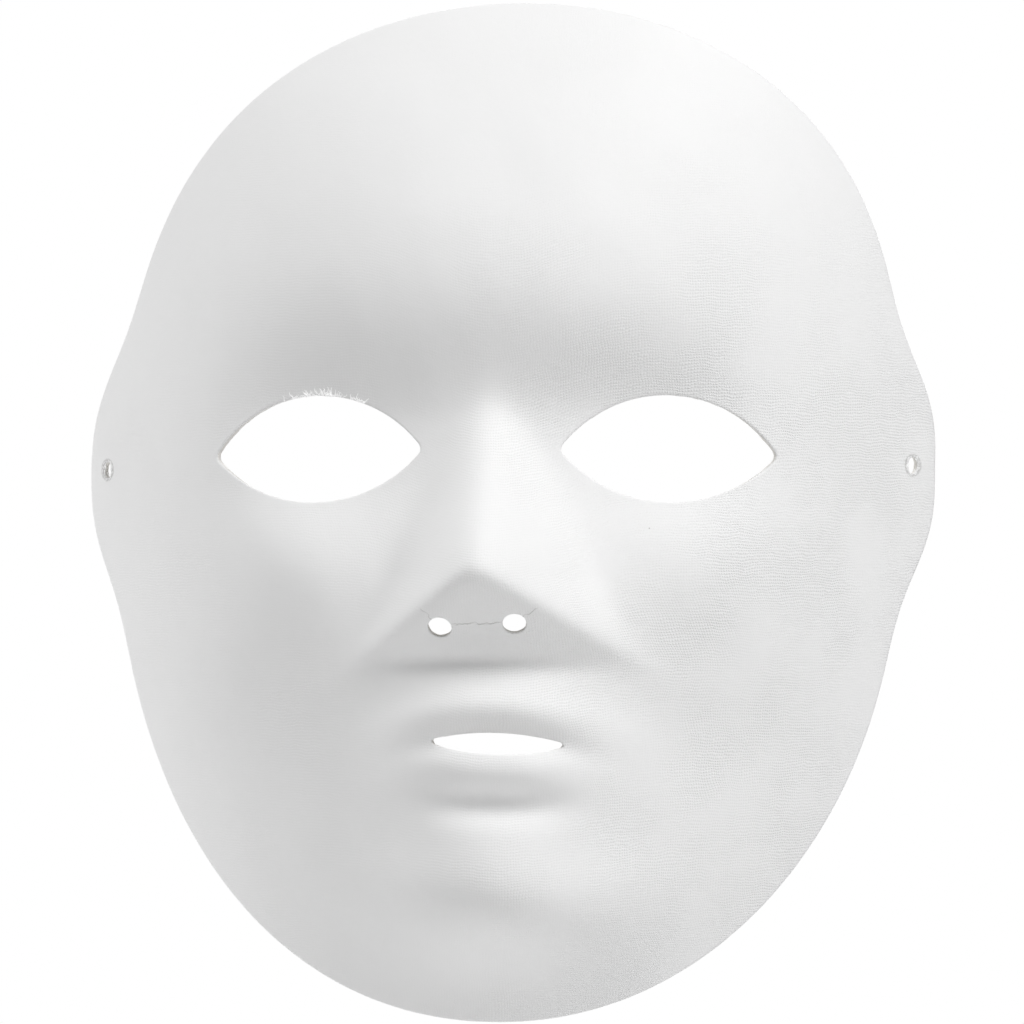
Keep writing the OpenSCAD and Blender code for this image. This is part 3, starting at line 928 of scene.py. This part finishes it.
studio = {
    "world": 0.15, "background": 1.0,
    "lights": {
        "key": {"from": (51, 46), "power": 31.8},
        "fill": {"from": (-52, 48), "power": 10.5},
        "rim": {"from": (-108, 14), "power": 16.6},
        "back": {"from": (180, 35), "power": 7.0},
    },
    "reach": 2.0, "panel": 1.0, "aim": (0, -0.03, -0.01),
    "floor": {"drop": 0.4, "size": 3.2, "colour": "#fbfbfb", "glow": 0.04},
}


def areaLight(name, direction, power):
    # a square soft box, placed by its azimuth and elevation in degrees
    a, e = (math.radians(v) for v in direction)
    back = Vector((math.sin(a) * math.cos(e), -math.cos(a) * math.cos(e), math.sin(e)))
    lamp = bpy.data.lights.new(name, "AREA")
    lamp.shape, lamp.size, lamp.energy = "SQUARE", studio["panel"], power
    made = bpy.data.objects.new(name, lamp)
    bpy.context.scene.collection.objects.link(made)
    made.location = Vector(studio["aim"]) + studio["reach"] * back
    made.rotation_euler = back.to_track_quat("Z", "Y").to_euler()


for lightName, light in studio["lights"].items():
    areaLight(lightName, light["from"], light["power"])


def whiteWorld():
    # a white sweep behind the object, and softer light from all round
    world = bpy.data.worlds.new("studio")
    bpy.context.scene.world = world
    world.use_nodes = True
    tree = world.node_tree
    tree.nodes.clear()
    seen = addNode(tree, "ShaderNodeBackground", Color=(1, 1, 1, 1), Strength=studio["background"])
    lit = addNode(tree, "ShaderNodeBackground", Color=(1, 1, 1, 1), Strength=studio["world"])
    path = addNode(tree, "ShaderNodeLightPath")
    mixed = addNode(tree, "ShaderNodeMixShader", i0=(path, "Is Camera Ray"), i1=lit, i2=seen)
    addNode(tree, "ShaderNodeOutputWorld", Surface=mixed)


def studioFloor():
    # the mask is held up, as a head holds it, so the pale floor lies well below the chin
    f = studio["floor"]
    half, z = f["size"] / 2, cadBox[0][2] - f["drop"]
    mesh = bpy.data.meshes.new("floor")
    corners = [(-half, -half, z), (half, -half, z), (half, half, z), (-half, half, z)]
    mesh.from_pydata(corners, [], [(0, 1, 2, 3)])
    floor = bpy.data.objects.new("floor", mesh)
    bpy.context.scene.collection.objects.link(floor)
    material, tree = startMaterial("whitePaper")
    paper = addNode(tree, "ShaderNodeBsdfPrincipled", Base_Color=toLinear(f["colour"]), Roughness=0.9)
    paper.inputs["Emission Color"].default_value = (1, 1, 1, 1)
    paper.inputs["Emission Strength"].default_value = f["glow"]
    addNode(tree, "ShaderNodeOutputMaterial", Surface=paper)
    mesh.materials.append(material)


whiteWorld()
studioFloor()

view = {"distance": 1300, "azimuth": 4.5, "elevation": 0, "acrossFrame": 221.1,
        "aimForward": 20, "aimZ": -9.5, "shiftX": -2.95, "shiftZ": 0.26, "sensor": 36}


def setCamera():
    v = view
    a, e = math.radians(v["azimuth"]), math.radians(v["elevation"])
    back = Vector((math.sin(a) * math.cos(e), -math.cos(a) * math.cos(e), math.sin(e)))
    right = Vector((math.cos(a), math.sin(a), 0))
    up = back.cross(right)
    target = Vector((0, holeForward - v["aimForward"], v["aimZ"])) - v["shiftX"] * right - v["shiftZ"] * up
    camera = bpy.data.cameras.new("camera")
    camera.sensor_width = v["sensor"]
    camera.lens = v["sensor"] * v["distance"] / v["acrossFrame"]
    camera.clip_start, camera.clip_end = 0.05, 20
    made = bpy.data.objects.new("camera", camera)
    bpy.context.scene.collection.objects.link(made)
    made.matrix_world = Matrix((right, up, back)).transposed().to_4x4()
    made.location = (target + v["distance"] * back) * mm
    bpy.context.scene.camera = made


setCamera()
bpy.context.scene.view_settings.view_transform = "Standard"
bpy.context.scene.view_settings.look = "None"
print("studio: lights, floor and camera set")
